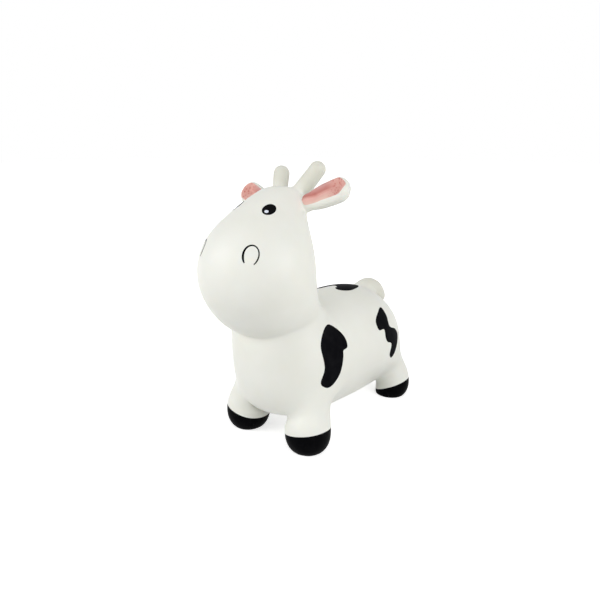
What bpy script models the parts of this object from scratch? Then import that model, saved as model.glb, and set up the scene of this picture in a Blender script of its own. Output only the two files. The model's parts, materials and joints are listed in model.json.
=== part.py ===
"""A bouncing cow: an inflated hopper that a child sits on, holding its horns or ears.

Metres, +Z up. The cow faces -Y and its left side is at +X. One soft moulded skin makes the
whole animal, so it is modelled as one smooth cage, hollowed to its wall, and then divided
along the cage's own loops into torso, head, legs and hooves.
"""

from math import cos, pi, radians, sin

import bmesh
import bpy
from mathutils import Matrix, Vector
from mathutils.bvhtree import BVHTree

# Skin
wall = 0.0022                 # moulded vinyl
seam_gap = 0.0003             # left between neighbouring pieces
paint_depth = 0.0006          # a sprayed colour area, thicker than real paint
swell = 1.10                  # the cage stands outside the smooth skin by this factor

# Torso
torso_length = 0.440          # chest to rump
torso_width = 0.240
seat_height = 0.256           # top of the back
belly_height = 0.034          # underside

# Head
head_length = 0.193           # nape to muzzle
head_width = 0.229
head_height = 0.256           # throat to poll

# Legs and hooves
foot_spread = 0.149           # between left and right foot centres
foot_reach = 0.297            # between front and rear foot centres
front_hoof_width = 0.088
rear_hoof_width = 0.079
ankle_heights = (0.0875, 0.034)      # on the outer and the inner side
front_hoof_heights = (0.050, 0.034)
rear_hoof_heights = (0.045, 0.021)
sole_sink = 0.014             # how far the cage goes below the floor

# Horns
horn_lengths = (0.055, 0.049) # above their roots, left and right: the soft horns set unevenly
horn_width = 0.0295           # at the round club end
horn_neck_width = 0.0275      # where it leaves its root
horn_root_height = 0.010
horn_root_flare = 0.0275
horn_spread = 0.0395          # between the two roots
horn_splays = (31.0, 30.0)    # degrees outward
horn_leans = (34.0, 50.0)     # degrees backward

# Ears
ear_length = 0.0735
ear_width = 0.053
ear_thickness = 0.027
ear_root_length = 0.0135
ear_dish = 0.0090             # hollow of the front face
ear_raises = (22.0, 17.0)     # degrees above level, left and right
ear_sweep = 13.0              # degrees, tips backward of the roots

# Tail
tail_length = 0.106
tail_width = 0.046

# Eyes and nostrils
eye_width = 0.0216
eye_height = 0.0266
eye_tilt = -34.0              # degrees, its long axis leans outward
glint_width = 0.0060
nostril_width = 0.0275
nostril_height = 0.0345
nostril_line = 0.0018         # breadth of the drawn line
nostril_opening = 70.0        # degrees left open at the bottom

# Colour patches
shoulder_patch_height = 0.102
shoulder_patch_width = 0.078
rump_patch_height = 0.103
rump_patch_width = 0.086
back_patch_length = 0.085
back_patch_width = 0.072

# Valve
plug_width = 0.0080
plug_length = 0.0160
plug_head_width = 0.0120
plug_head_depth = 0.0020
valve_width = 0.0200
valve_flange_depth = 0.0016
valve_depth = 0.0140
valve_rise = 0.0006           # the flange stands off the belly, which curves

# Sections of the torso from rump to neck. Each has a point on the back line and a point on the
# belly line, as shares of torso_length (Y) and of the height from belly to seat (Z), then its
# half width as a share of half torso_width.
torso_section_shares = (
    ((0.460, 0.60), (0.445, 0.24), 0.44),
    ((0.408, 0.80), (0.385, 0.07), 0.72),
    ((0.27, 1.012), (0.13, -0.05), 0.96),
    ((-0.01, 1.034), (-0.275, 0.0), 0.97),
    ((-0.080, 0.95), (-0.465, 0.19), 0.86),
    ((-0.118, 0.98), (-0.500, 0.54), 0.77),
    ((-0.150, 1.05), (-0.493, 0.88), 0.74),
)
rear_leg_span = 1             # the rear leg grows between this section and the next
front_leg_span = 3

# Sections of the head from throat to poll: nape point, face point, half width, as shares of
# head_length forward of the nape, of head_height above the throat and of half head_width.
head_section_shares = (
    ((-0.01, 0.333), (0.75, 0.16), 0.88),
    ((0.035, 0.47), (0.94, 0.29), 0.965),
    ((0.042, 0.60), (1.02, 0.50), 1.0),
    ((0.060, 0.73), (0.913, 0.733), 0.874),
    ((0.018, 0.843), (0.70, 0.882), 0.605),
    ((-0.030, 1.01), (0.255, 1.076), 0.315),
)
nape_share = -0.212           # of torso_length, where the nape stands
throat_share = 0.752          # of the height from belly to seat

# Half a section, from the back line (0) to the belly line (180). The legs grow from the side
# that lies between the third and fourth of these.
section_angles = (0.0, 52.0, 104.0, 152.0, 180.0)
leg_side = 2

# Rings of a leg's cage at the ankle, the top of the hoof and below the floor, where the sole is
# pressed flat: how far each reaches outward, inward, to the cow's near end and to its middle,
# as shares of half the hoof's width.
leg_ring_shares = (
    (0.66, 0.98, 0.60, 0.86),
    (1.06, 1.06, 1.06, 1.06),
    (0.98, 0.98, 0.98, 0.98),
)
ring_regions = ("leg", "leg", "hoof")

# Ears: length from the root, width, thickness and dish, as shares of the ear's own sizes.
ear_section_shares = (
    (0.0, 0.60, 0.70, 0.15),
    (0.30, 0.92, 0.92, 0.8),
    (0.64, 1.0, 1.0, 1.0),
    (0.90, 0.89, 0.92, 0.6),
    (1.0, 0.50, 0.50, 0.0),
)
ear_root_depth_shares = (0.0, 0.7, 1.3)
lining_shares = ((0.05, 0.36), (0.26, 0.60), (0.46, 0.67), (0.68, 0.62), (0.84, 0.46), (0.915, 0.0))
lining_lift_share = 0.05      # of ear_width, towards the upper edge
horn_waist_shares = (0.66, 0.33, 0.0)
root_flare_shares = (0.0, 0.5, 1.0)
root_sink_share = 0.3         # of the flare, how far a horn's root runs on below the skin
tail_radius_shares = (1.0, 1.04, 0.98, 0.88, 0.5)

# Where things sit: forward of the nape and above the throat on the head, along the torso and
# above the belly on the torso, as shares of the same sizes as the sections.
horn_seat_share = (0.09, 0.96)
horn_depth_share = 0.25       # of head_height, from there inward along the horn
ear_seat_shares = ((0.22, 0.856), (0.14, 0.840))   # left and right
eye_core_share = (0.40, 0.82)
nostril_core_share = (0.45, 0.62)
tail_seat_share = (0.296, 0.5)
tail_sink_share = 0.40        # of tail_width, centre line below the back where it starts
shoulder_patch_share = (-0.231, 0.63)
rump_patch_share = (0.197, 0.58)
back_patch_share = (0.156, 1.0)
valve_share = (0.10, 0.5)
glint_x_share = 0.04          # of eye_width, towards the muzzle
glint_y_share = -0.24         # of eye_height
patch_depth_share = 0.9

# Outlines, as shares of the patch's own width and height, rearward and upward.
shoulder_outline_shares = (
    (0.14, 0.5), (0.41, 0.37), (0.5, 0.18), (0.45, 0.06), (0.30, 0.03), (0.25, -0.06),
    (0.01, -0.35), (-0.36, -0.5), (-0.5, -0.42), (-0.36, -0.16), (-0.35, -0.03), (-0.38, 0.25),
    (-0.28, 0.41), (-0.11, 0.5),
)
rump_outline_shares = (
    (0.05, 0.5), (0.10, 0.36), (0.07, 0.16), (0.38, 0.01), (0.5, -0.12), (0.31, -0.36),
    (0.05, -0.5), (-0.04, -0.40), (0.04, -0.20), (-0.16, -0.10), (-0.22, -0.01), (-0.22, 0.15),
    (-0.45, 0.20), (-0.48, 0.34), (-0.21, 0.47),
)
far_shoulder_outline_shares = (
    (-0.30, 0.46), (0.06, 0.5), (0.40, 0.34), (0.46, 0.10), (0.20, -0.04), (0.30, -0.26),
    (0.10, -0.48), (-0.24, -0.46), (-0.36, -0.20), (-0.22, 0.02), (-0.48, 0.20),
)
far_rump_outline_shares = (
    (-0.20, 0.48), (0.18, 0.44), (0.44, 0.20), (0.40, -0.10), (0.12, -0.20), (0.16, -0.44),
    (-0.14, -0.48), (-0.30, -0.24), (-0.48, -0.06), (-0.40, 0.26),
)
back_outline_shares = (
    (0.03, -0.32), (0.07, -0.44), (0.18, -0.495), (0.29, -0.46), (0.37, -0.36), (0.415, -0.20),
    (0.38, 0.014), (0.27, 0.31), (0.08, 0.50), (-0.22, 0.45), (-0.49, 0.18), (-0.58, -0.22),
    (-0.47, -0.60), (-0.32, -0.59), (-0.24, -0.42), (-0.14, -0.25),
)

# Directions, in degrees. The turns are outward from straight ahead, the rises above level.
eye_turns = (52.0, 56.0)      # left and right, painted a little unevenly
eye_rise = 30.6
nostril_turns = (33.3, 36.0)
nostril_rise = 9.0
nostril_tilt = -8.0
ear_tilt = 30.0               # the ear's face looks forward and this far upward
tail_rise = 24.0
tail_fall = 92.0

skin_levels = 2
ear_levels = 1
tail_levels = 1
ear_sides = 8
tail_sides = 8
horn_sides = 14
horn_tip_steps = 4
valve_sides = 16
oval_points = 8
outline_steps = 2
nostril_steps = 10
weld = 0.00001                # vertices nearer than this are one
regions = ("torso", "head", "leg", "hoof")

finishes = {
    "white_vinyl": ((0.86, 0.85, 0.79), 0.42),
    "black_paint": ((0.012, 0.012, 0.013), 0.30),
    "pink_paint": ((0.72, 0.30, 0.28), 0.50),
    "glint_paint": ((0.80, 0.82, 0.92), 0.35),
    "clear_plastic": ((0.75, 0.76, 0.74), 0.35),
}


def clear_scene():
    for old in list(bpy.data.objects):
        bpy.data.objects.remove(old)


def new_collection(name):
    collection = bpy.data.collections.new(name)
    bpy.context.scene.collection.children.link(collection)
    return collection


def make_material(name, finish):
    colour, roughness = finishes[finish]
    material = bpy.data.materials.new(name)
    material.use_nodes = True
    shader = material.node_tree.nodes["Principled BSDF"]
    shader.inputs["Base Color"].default_value = (*colour, 1.0)
    shader.inputs["Roughness"].default_value = roughness
    shader.inputs["Metallic"].default_value = 0.0
    material.diffuse_color = (*colour, 1.0)
    return material


def add_piece(name, mesh, finish, parent):
    """A visible sub-part, with its own material, in the part's collection."""
    piece = bpy.data.objects.new(name, mesh)
    mesh.materials.clear()
    mesh.materials.append(make_material(name + "_" + finish, finish))
    part.objects.link(piece)
    piece.parent = parent
    return piece


def add_guide(name, mesh):
    """A cutter or other helper, which the finished part leaves out."""
    guide = bpy.data.objects.new(name, mesh)
    guides.objects.link(guide)
    guide.parent = stand
    guide.hide_render = True
    guide.display_type = "WIRE"
    return guide


def add_empty(name, parent, matrix):
    empty = bpy.data.objects.new(name, None)
    part.objects.link(empty)
    empty.parent = parent
    empty.matrix_basis = matrix
    return empty


def final_mesh(guide):
    bpy.context.view_layer.update()
    return bpy.data.meshes.new_from_object(guide.evaluated_get(bpy.context.evaluated_depsgraph_get()))


def mesh_from(bm, name):
    bmesh.ops.recalc_face_normals(bm, faces=bm.faces)
    mesh = bpy.data.meshes.new(name)
    bm.to_mesh(mesh)
    bm.free()
    return mesh


def subdivide(guide, levels):
    modifier = guide.modifiers.new("smooth_form", "SUBSURF")
    modifier.levels = levels
    modifier.render_levels = levels


def boolean(piece, operation, cutter):
    modifier = piece.modifiers.new(operation.lower() + "_" + cutter.name, "BOOLEAN")
    modifier.operation = operation
    modifier.object = cutter
    modifier.solver = "EXACT"


def torso_place(shares):
    along, up = shares
    return along * torso_length, belly_height + up * (seat_height - belly_height)


def head_place(shares):
    forward, up = shares
    throat = belly_height + throat_share * (seat_height - belly_height)
    return nape_share * torso_length - forward * head_length, throat + up * head_height


def skin_sections():
    """Every half section of the skin as points, rump to poll."""
    rows = [(torso_place(b), torso_place(f), w * torso_width / 2) for b, f, w in torso_section_shares]
    rows += [(head_place(b), head_place(f), w * head_width / 2) for b, f, w in head_section_shares]
    sections = []
    for (back_y, back_z), (front_y, front_z), half_width in rows:
        middle_y, middle_z = (back_y + front_y) / 2, (back_z + front_z) / 2
        half_y, half_z = (back_y - front_y) / 2 * swell, (back_z - front_z) / 2 * swell
        points = []
        for angle in section_angles:
            along, across = cos(radians(angle)), sin(radians(angle))
            x = half_width * swell * across if 0 < angle < 180 else 0.0
            points.append(Vector((x, middle_y + half_y * along, middle_z + half_z * along)))
        sections.append(points)
    return sections


def leg_rings(front):
    """Four-sided rings of a left leg's cage, from the ankle down to the sole."""
    size = front_hoof_width if front else rear_hoof_width
    centre_x, centre_y = foot_spread / 2, (-foot_reach if front else foot_reach) / 2
    hoof_heights = front_hoof_heights if front else rear_hoof_heights
    heights = (ankle_heights, hoof_heights, (-sole_sink, -sole_sink))
    rings = []
    for (outer, inner, end, middle), (outer_z, inner_z) in zip(leg_ring_shares, heights):
        ahead, behind = (end, middle) if front else (middle, end)
        outer_x, inner_x = centre_x + outer * size / 2, centre_x - inner * size / 2
        front_y, rear_y = centre_y - ahead * size / 2, centre_y + behind * size / 2
        rings.append([
            Vector((outer_x, rear_y, outer_z)),
            Vector((inner_x, rear_y, inner_z)),
            Vector((inner_x, front_y, inner_z)),
            Vector((outer_x, front_y, outer_z)),
        ])
    return rings


def build_skin_cage():
    """The left half of the coarse cage, open at the mirror plane, with its regions marked."""
    bm = bmesh.new()
    rows = [[bm.verts.new(point) for point in section] for section in skin_sections()]
    torso_count = len(torso_section_shares)

    def add_face(verts, region):
        face = bm.faces.new(verts)
        face.material_index = regions.index(region)

    for span in range(len(rows) - 1):
        region = "torso" if span < torso_count - 1 else "head"
        for side in range(len(section_angles) - 1):
            corners = [rows[span][side], rows[span][side + 1], rows[span + 1][side + 1], rows[span + 1][side]]
            if side == leg_side and span in (rear_leg_span, front_leg_span):
                for ring, ring_region in zip(leg_rings(span == front_leg_span), ring_regions):
                    lower = [bm.verts.new(point) for point in ring]
                    for i in range(4):
                        j = (i + 1) % 4
                        add_face([corners[i], corners[j], lower[j], lower[i]], ring_region)
                    corners = lower
                add_face(corners, "hoof")
            else:
                add_face(corners, region)
    add_face(rows[0], "torso")
    add_face(rows[-1], "head")
    return mesh_from(bm, "skin_cage")


def build_skin():
    """The smooth closed outer skin, with the feet pressed flat where they stand."""
    cage = add_guide("skin_cage", build_skin_cage())
    mirror = cage.modifiers.new("both_sides", "MIRROR")
    mirror.merge_threshold = weld
    subdivide(cage, skin_levels)
    smooth = bmesh.new()
    smooth.from_mesh(final_mesh(cage))
    for vert in smooth.verts:
        vert.co.z = max(vert.co.z, 0.0)
    bmesh.ops.triangulate(smooth, faces=smooth.faces, quad_method="SHORT_EDGE")
    return mesh_from(smooth, "skin")


def build_wall(skin):
    """The skin with its inner surface; inner vertex i + n lies under outer vertex i of n."""
    guide = add_guide("skin_wall", skin.copy())
    hollow = guide.modifiers.new("wall", "SOLIDIFY")
    hollow.thickness = wall
    hollow.offset = -1.0
    return final_mesh(guide)


def skin_piece(name, wall_mesh, region, keep):
    """One region of the hollow skin, drawn back from its neighbours by half a seam."""
    bm = bmesh.new()
    bm.from_mesh(wall_mesh)
    outer_count = len(bm.verts) // 2
    number = {vert: vert.index for vert in bm.verts}
    at_number = dict(enumerate(bm.verts))
    index = regions.index(region)
    others = [f for f in bm.faces if f.material_index != index or not keep(f.calc_center_median())]
    bmesh.ops.delete(bm, geom=others, context="FACES")
    rim = [edge for edge in bm.edges if edge.is_boundary]
    shifts = {}
    for vert in {vert for edge in rim for vert in edge.verts}:
        inward = [e.other_vert(vert).co - vert.co for e in vert.link_edges if not e.is_boundary]
        direction = sum((step.normalized() for step in inward), Vector())
        shifts[vert] = direction.normalized() * seam_gap / 2
    for vert, shift in shifts.items():
        vert.co += shift
    for edge in rim:
        first, second = edge.verts
        if number[first] < outer_count:
            under = [at_number[number[v] + outer_count] for v in (second, first)]
            bm.faces.new([first, second, *under])
    mesh = mesh_from(bm, name)
    mesh.shade_smooth()
    return mesh


def layer(base, distance, name):
    """A closed solid that stands a little outside a closed surface."""
    mesh = base.copy()
    normals = [vertex.normal.copy() for vertex in base.vertices]
    for vertex, normal in zip(mesh.vertices, normals):
        vertex.co += normal * distance
    return add_guide(name, mesh)


def outline_prism(name, points, depth, matrix, smooth=True):
    """A flat outline with a smooth edge, extruded both ways by half its depth."""
    curve = bpy.data.curves.new(name, "CURVE")
    curve.dimensions = "2D"
    curve.fill_mode = "BOTH"
    curve.extrude = depth / 2
    curve.resolution_u = outline_steps
    spline = curve.splines.new("BEZIER")
    spline.bezier_points.add(len(points) - 1)
    spline.use_cyclic_u = True
    for knot, (x, y) in zip(spline.bezier_points, points):
        knot.co = (x, y, 0.0)
        knot.handle_left_type = knot.handle_right_type = "AUTO" if smooth else "VECTOR"
    flat = bpy.data.objects.new(name + "_outline", curve)
    guides.objects.link(flat)
    bm = bmesh.new()
    bm.from_mesh(final_mesh(flat))
    bpy.data.objects.remove(flat)
    bmesh.ops.remove_doubles(bm, verts=bm.verts, dist=weld)
    bmesh.ops.transform(bm, matrix=matrix, verts=bm.verts)
    return mesh_from(bm, name)


def facing(point, normal, upward=Vector((0.0, 0.0, 1.0))):
    """A frame at a point, its Z along the normal and its Y as near upward as it can be."""
    z = normal.normalized()
    x = upward.cross(z).normalized()
    return Matrix.Translation(point) @ Matrix((x, z.cross(x), z)).transposed().to_4x4()


def on_skin(start, direction):
    point, normal, _, _ = skin_tree.ray_cast(start, direction.normalized())
    return point, normal


def painted(name, prism, finish, inner, outer, parent):
    """A sprayed area: the part of a prism between two layers of the surface under it."""
    piece = add_piece(name, prism, finish, parent)
    boolean(piece, "INTERSECT", outer)
    boolean(piece, "DIFFERENCE", inner)
    return piece


def turned(name, profile, steps, closed=True):
    """A turned shape: its profile (radius, height) runs down the outside, then up the inside."""
    bm = bmesh.new()
    points = [bm.verts.new((radius, 0.0, height)) for radius, height in profile]
    for first, second in zip(points, points[1:]):
        bm.edges.new((first, second))
    if closed:
        bm.edges.new((points[-1], points[0]))
    mesh = bpy.data.meshes.new(name)
    bm.to_mesh(mesh)
    bm.free()
    guide = add_guide(name + "_profile", mesh)
    screw = guide.modifiers.new("turn", "SCREW")
    screw.steps = screw.render_steps = steps
    screw.use_merge_vertices = True
    screw.merge_threshold = weld
    solid = final_mesh(guide)
    bpy.data.objects.remove(guide)
    return solid


def tube_cage(name, sections, shut):
    """A coarse tube through its sections, open at the first and shut at the last if asked."""
    bm = bmesh.new()
    rows = [[bm.verts.new(point) for point in section] for section in sections]
    for lower, upper in zip(rows, rows[1:]):
        for i in range(len(lower)):
            j = (i + 1) % len(lower)
            bm.faces.new((lower[i], lower[j], upper[j], upper[i]))
    if shut:
        bm.faces.new(rows[-1])
    return mesh_from(bm, name)


def horn_profile(length, inset):
    """Half a horn's outline from its tip down to its root, moved inward by the inset."""
    club, neck = horn_width / 2 - inset, horn_neck_width / 2 - inset
    centre = length - horn_width / 2
    tip = [(club * sin(turn), centre + club * cos(turn)) for turn in
           (pi / 2 * i / horn_tip_steps for i in range(horn_tip_steps + 1))]
    tip[0] = (0.0, tip[0][1])
    waist = [(neck + (club - neck) * share, centre * share) for share in horn_waist_shares]
    return tip + waist


def build_horn(side_name, side):
    splay, back = radians(horn_splays[side < 0]), radians(horn_leans[side < 0])
    lean = Vector((side * sin(splay), sin(back), 1.0)).normalized()
    aim = Vector((side * horn_spread / 2, *head_place(horn_seat_share)))
    seat, _ = on_skin(aim - lean * head_height * horn_depth_share, lean)
    place = facing(seat + lean * horn_root_height, lean, Vector((0.0, -1.0, 0.0)))
    hinge = add_empty("horn_flex_" + side_name, stand, place)
    length = horn_lengths[side < 0]
    outline = horn_profile(length, 0.0) + horn_profile(length, wall)[::-1]
    name = "horn_" + side_name
    horn = add_piece(name, turned(name, outline, horn_sides), "white_vinyl", hinge)
    horn.data.shade_smooth()
    neck, flare = horn_neck_width / 2, horn_root_flare / 2
    collar = [(neck, -seam_gap)]
    for share in root_flare_shares:
        collar.append((neck + (flare - neck) * share ** 2, -seam_gap - horn_root_height * share))
    collar.append((flare, -horn_root_height - flare * root_sink_share))
    collar += [(radius - wall, height) for radius, height in reversed(collar)]
    name = "horn_root_" + side_name
    root = add_piece(name, turned(name, collar, horn_sides), "white_vinyl", hinge)
    root.data.shade_smooth()
    boolean(root, "DIFFERENCE", skin_near)


def ear_section(along, width_share, thickness_share, dish_share):
    """A closed section of an ear: flat oval, with its front face pressed in to a shallow dish."""
    points = []
    for i in range(ear_sides):
        turn = 2 * pi * i / ear_sides
        depth = ear_thickness / 2 * thickness_share * sin(turn)
        if depth > 0:
            depth -= ear_dish * dish_share * sin(turn) ** 2
        points.append(Vector((ear_width / 2 * width_share * cos(turn), depth, along)))
    return points


def triangulated(mesh):
    """The same surface in triangles, so that the layers over it share its facets."""
    bm = bmesh.new()
    bm.from_mesh(mesh)
    bmesh.ops.triangulate(bm, faces=bm.faces[:], quad_method="SHORT_EDGE")
    return mesh_from(bm, mesh.name)


def build_ear(side_name, side):
    rise, back = radians(ear_raises[side < 0]), radians(ear_sweep)
    outward = Vector((side * cos(rise) * cos(back), cos(rise) * sin(back), sin(rise)))
    seat, _ = on_skin(Vector((0.0, *head_place(ear_seat_shares[side < 0]))), outward)
    front = Vector((0.0, -cos(radians(ear_tilt)), sin(radians(ear_tilt))))
    place = facing(seat + outward * ear_root_length, outward, front)
    hinge = add_empty("ear_flex_" + side_name, stand, place)
    sections = [ear_section(a * ear_length, w, t, d) for a, w, t, d in ear_section_shares]
    cage = add_guide("ear_cage_" + side_name, tube_cage("ear_cage_" + side_name, sections, True))
    subdivide(cage, ear_levels)
    surface = triangulated(final_mesh(cage))
    cage.parent = hinge
    ear = add_piece("ear_" + side_name, surface, "white_vinyl", hinge)
    ear.data.shade_smooth()
    hollow = ear.modifiers.new("wall", "SOLIDIFY")
    hollow.thickness = wall
    hollow.offset = -1.0
    closed = bmesh.new()
    closed.from_mesh(surface)
    bmesh.ops.holes_fill(closed, edges=[edge for edge in closed.edges if edge.is_boundary])
    base = mesh_from(closed, "ear_surface_" + side_name)
    near = layer(base, seam_gap, "ear_near_" + side_name)
    far = layer(base, seam_gap + paint_depth, "ear_far_" + side_name)
    near.parent = far.parent = hinge
    half = [(w * ear_width / 2, a * ear_length) for a, w in lining_shares]
    lift = side * lining_lift_share * ear_width
    outline = [(x + lift, y) for x, y in half + [(-x, y) for x, y in reversed(half[:-1])]]
    turn = Matrix.Rotation(pi / 2, 4, "X")
    shift = Matrix.Translation((0.0, ear_thickness, 0.0))
    prism = outline_prism("ear_lining_" + side_name, outline, 2 * ear_thickness, shift @ turn)
    painted("ear_lining_" + side_name, prism, "pink_paint", near, far, hinge)
    _, base_width, base_thickness, base_dish = ear_section_shares[0]
    rows = []
    for share in ear_root_depth_shares:
        along = -seam_gap - ear_root_length * share
        rows.append(ear_section(along, base_width, base_thickness, base_dish))
    name = "ear_root_" + side_name
    root = add_piece(name, tube_cage(name, rows[::-1], False), "white_vinyl", hinge)
    root.data.shade_smooth()
    subdivide(root, ear_levels)
    hollow = root.modifiers.new("wall", "SOLIDIFY")
    hollow.thickness = wall
    hollow.offset = -1.0
    boolean(root, "DIFFERENCE", skin_near)


def build_skin_pieces():
    """Torso, head, legs and hooves; each hoof hangs from an empty at its foot centre."""
    for name in ("torso", "head"):
        mesh = skin_piece(name, wall_mesh, name, lambda centre: True)
        add_piece(name, mesh, "white_vinyl", stand)
    for end_name, end in (("front", -1), ("rear", 1)):
        for side_name, side in (("left", 1), ("right", -1)):
            def here(centre):
                return centre.x * side > 0 and centre.y * end > 0
            corner = end_name + "_" + side_name
            leg = skin_piece("leg_" + corner, wall_mesh, "leg", here)
            add_piece("leg_" + corner, leg, "white_vinyl", stand)
            foot = Matrix.Translation((side * foot_spread / 2, end * foot_reach / 2, 0.0))
            bounce = add_empty("bounce_" + corner, stand, foot)
            hoof = skin_piece("hoof_" + corner, wall_mesh, "hoof", here)
            hoof.transform(foot.inverted())
            add_piece("hoof_" + corner, hoof, "black_paint", bounce)


def tail_rows():
    """Round sections along the tail's arc, in the middle plane of the cow."""
    top, _ = on_skin(Vector((0.0, *torso_place(tail_seat_share))), Vector((0.0, 0.0, 1.0)))
    centre = top - Vector((0.0, 0.0, tail_width * tail_sink_share))
    rows = []
    last = len(tail_radius_shares) - 1
    for i, share in enumerate(tail_radius_shares):
        heading = radians(tail_rise - (tail_rise + tail_fall) * i / last)
        ahead = Vector((0.0, cos(heading), sin(heading)))
        upward = Vector((0.0, -sin(heading), cos(heading)))
        radius = share * tail_width / 2
        rows.append([
            centre + Vector((radius * cos(turn), 0.0, 0.0)) + upward * radius * sin(turn)
            for turn in (2 * pi * k / tail_sides for k in range(tail_sides))
        ])
        centre = centre + ahead * tail_length / last
    return rows


def build_tail():
    tail = add_piece("tail", tube_cage("tail", tail_rows(), True), "white_vinyl", stand)
    tail.data.shade_smooth()
    subdivide(tail, tail_levels)
    hollow = tail.modifiers.new("wall", "SOLIDIFY")
    hollow.thickness = wall
    hollow.offset = -1.0
    boolean(tail, "DIFFERENCE", skin_near)


def oval(width, height, count):
    return [(width / 2 * cos(2 * pi * i / count), height / 2 * sin(2 * pi * i / count)) for i in range(count)]


def build_eyes():
    core = Vector((0.0, *head_place(eye_core_share)))
    for side_name, side in (("left", 1), ("right", -1)):
        turn, rise = radians(eye_turns[side < 0]), radians(eye_rise)
        aim = Vector((side * sin(turn) * cos(rise), -cos(turn) * cos(rise), sin(rise)))
        point, normal = on_skin(core, aim)
        tilt = Matrix.Rotation(side * radians(eye_tilt), 4, "Z")
        place = facing(point, normal) @ tilt
        prism = outline_prism("eye_" + side_name, oval(eye_width, eye_height, oval_points), eye_width, place)
        painted("eye_" + side_name, prism, "black_paint", skin_near, skin_far, stand)
        spot = Matrix.Translation((-side * eye_width * glint_x_share, eye_height * glint_y_share, 0.0))
        dot = oval(glint_width, glint_width, oval_points)
        prism = outline_prism("eye_glint_" + side_name, dot, eye_width, place @ spot)
        painted("eye_glint_" + side_name, prism, "glint_paint", eye_near, eye_far, stand)


def build_nostrils():
    core = Vector((0.0, *head_place(nostril_core_share)))
    gap = radians(nostril_opening) / 2
    turns = [gap + (2 * pi - 2 * gap) * i / nostril_steps for i in range(nostril_steps + 1)]
    for side_name, side in (("left", 1), ("right", -1)):
        turn, rise = radians(nostril_turns[side < 0]), radians(nostril_rise)
        aim = Vector((side * sin(turn) * cos(rise), -cos(turn) * cos(rise), sin(rise)))
        point, normal = on_skin(core, aim)
        outline = []
        for edge, order in ((0.0, turns), (nostril_line, turns[::-1])):
            half_width, half_height = nostril_width / 2 - edge, nostril_height / 2 - edge
            outline += [(half_width * sin(t), -half_height * cos(t)) for t in order]
        name = "nostril_" + side_name
        place = facing(point, normal) @ Matrix.Rotation(side * radians(nostril_tilt), 4, "Z")
        prism = outline_prism(name, outline, nostril_height, place, smooth=False)
        painted(name, prism, "black_paint", skin_near, skin_far, stand)


def build_patch(name, outline_shares, size, centre_share, side):
    """A colour patch on one flank: an outline thrown sideways on to the skin."""
    width, height = size
    along, up = torso_place(centre_share)
    place = facing(Vector((side * torso_width / 2, along, up)), Vector((side, 0.0, 0.0)))
    points = [(side * x * width, y * height) for x, y in outline_shares]
    prism = outline_prism(name, points, torso_width * patch_depth_share, place)
    painted(name, prism, "black_paint", skin_near, skin_far, stand)


def build_patches():
    shoulder = (shoulder_patch_width, shoulder_patch_height)
    rump = (rump_patch_width, rump_patch_height)
    build_patch("shoulder_patch_left", shoulder_outline_shares, shoulder, shoulder_patch_share, 1)
    build_patch("shoulder_patch_right", far_shoulder_outline_shares, shoulder, shoulder_patch_share, -1)
    build_patch("rump_patch_left", rump_outline_shares, rump, rump_patch_share, 1)
    build_patch("rump_patch_right", far_rump_outline_shares, rump, rump_patch_share, -1)
    along, up = torso_place(back_patch_share)
    place = facing(Vector((0.0, along, up)), Vector((0.0, 0.0, 1.0)), Vector((0.0, 1.0, 0.0)))
    points = [(x * back_patch_width, y * back_patch_length) for x, y in back_outline_shares]
    prism = outline_prism("back_patch", points, seat_height * patch_depth_share, place)
    painted("back_patch", prism, "black_paint", skin_near, skin_far, stand)


def build_valve():
    """The filling hole under the belly: a bush through the skin and the plug that shuts it."""
    seat, normal = on_skin(Vector((0.0, *torso_place(valve_share))), Vector((0.0, 0.0, -1.0)))
    place = facing(seat + normal * valve_rise, -normal, Vector((0.0, -1.0, 0.0)))
    slide = add_empty("air_plug_pull", stand, place)
    bore = plug_width / 2 + seam_gap
    barrel = bore + wall
    bush = [
        (barrel, valve_depth), (barrel, 0.0), (valve_width / 2, 0.0),
        (valve_width / 2, -valve_flange_depth), (bore, -valve_flange_depth), (bore, valve_depth),
    ]
    add_piece("valve_seat", turned("valve_seat", bush, valve_sides), "white_vinyl", slide)
    under = -valve_flange_depth - seam_gap
    plug = [
        (0.0, plug_length), (plug_width / 2, plug_length), (plug_width / 2, under),
        (plug_head_width / 2, under), (plug_head_width / 2, under - plug_head_depth),
        (0.0, under - plug_head_depth),
    ]
    add_piece("air_plug", turned("air_plug", plug, valve_sides, closed=False), "clear_plastic", slide)
    hole_radius = barrel + seam_gap
    hole = [
        (0.0, valve_depth), (hole_radius, valve_depth), (hole_radius, -valve_depth), (0.0, -valve_depth),
    ]
    cutter = add_guide("valve_hole", turned("valve_hole", hole, valve_sides, closed=False))
    cutter.parent = slide
    boolean(part.objects["torso"], "DIFFERENCE", cutter)


def centre_on_floor():
    """Moves the whole cow so that its origin is the middle of its box, on the floor."""
    bpy.context.view_layer.update()
    graph = bpy.context.evaluated_depsgraph_get()
    corners = []
    for piece in part.objects:
        if piece.type == "MESH":
            seen = piece.evaluated_get(graph)
            corners += [seen.matrix_world @ vertex.co for vertex in seen.data.vertices]
    for axis in range(2):
        low, high = min(c[axis] for c in corners), max(c[axis] for c in corners)
        stand.location[axis] = -(low + high) / 2
    stand.location.z = -min(c.z for c in corners)


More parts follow.
